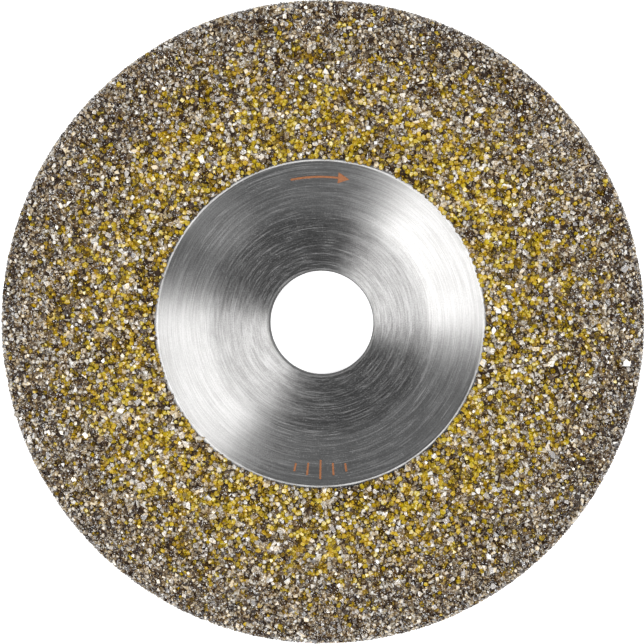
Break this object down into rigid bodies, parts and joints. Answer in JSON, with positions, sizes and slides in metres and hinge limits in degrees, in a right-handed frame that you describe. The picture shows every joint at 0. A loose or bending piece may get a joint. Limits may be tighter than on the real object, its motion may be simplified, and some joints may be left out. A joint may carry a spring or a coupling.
{
  "type": "diamond grinding wheel",
  "caption": "Round steel grinding wheel with a recessed hub, a plain central bore and one layer of coarse diamond crystals bonded to its front face and rim.",
  "frame": {"origin": "on the spin axis, in the plane of the back seat that lies on the grinder's flange", "axes": "+Z along the spin axis, out of the abrasive face; +X and +Y across the wheel"},
  "size_m": [0.0984, 0.0984, 0.0083],
  "materials": {
    "turned_steel": "fine concentric turning marks, bright",
    "nickel_bond": "dark plated nickel between the crystals",
    "yellow_diamond": "glossy translucent yellow synthetic diamond",
    "clear_diamond": "glossy off-white diamond"
  },
  "bodies": {
    "root": {"bond_coat": "nickel_bond", "carrier_disc": "turned_steel", "clear_crystals_band_01": "clear_diamond", "clear_crystals_band_02": "clear_diamond", "clear_crystals_band_03": "clear_diamond", "clear_crystals_band_04": "clear_diamond", "clear_crystals_band_05": "clear_diamond", "clear_crystals_band_06": "clear_diamond", "clear_crystals_band_07": "clear_diamond", "clear_crystals_band_08": "clear_diamond", "clear_crystals_band_09": "clear_diamond", "clear_crystals_band_10": "clear_diamond", "clear_crystals_band_11": "clear_diamond", "clear_crystals_band_12": "clear_diamond", "clear_crystals_rim": "clear_diamond", "yellow_crystals_band_01": "yellow_diamond", "yellow_crystals_band_02": "yellow_diamond", "yellow_crystals_band_03": "yellow_diamond", "yellow_crystals_band_04": "yellow_diamond", "yellow_crystals_band_05": "yellow_diamond", "yellow_crystals_band_06": "yellow_diamond", "yellow_crystals_band_07": "yellow_diamond", "yellow_crystals_band_08": "yellow_diamond", "yellow_crystals_band_09": "yellow_diamond", "yellow_crystals_band_10": "yellow_diamond", "yellow_crystals_band_11": "yellow_diamond", "yellow_crystals_band_12": "yellow_diamond", "yellow_crystals_rim": "yellow_diamond"}
  },
  "joints": []
}
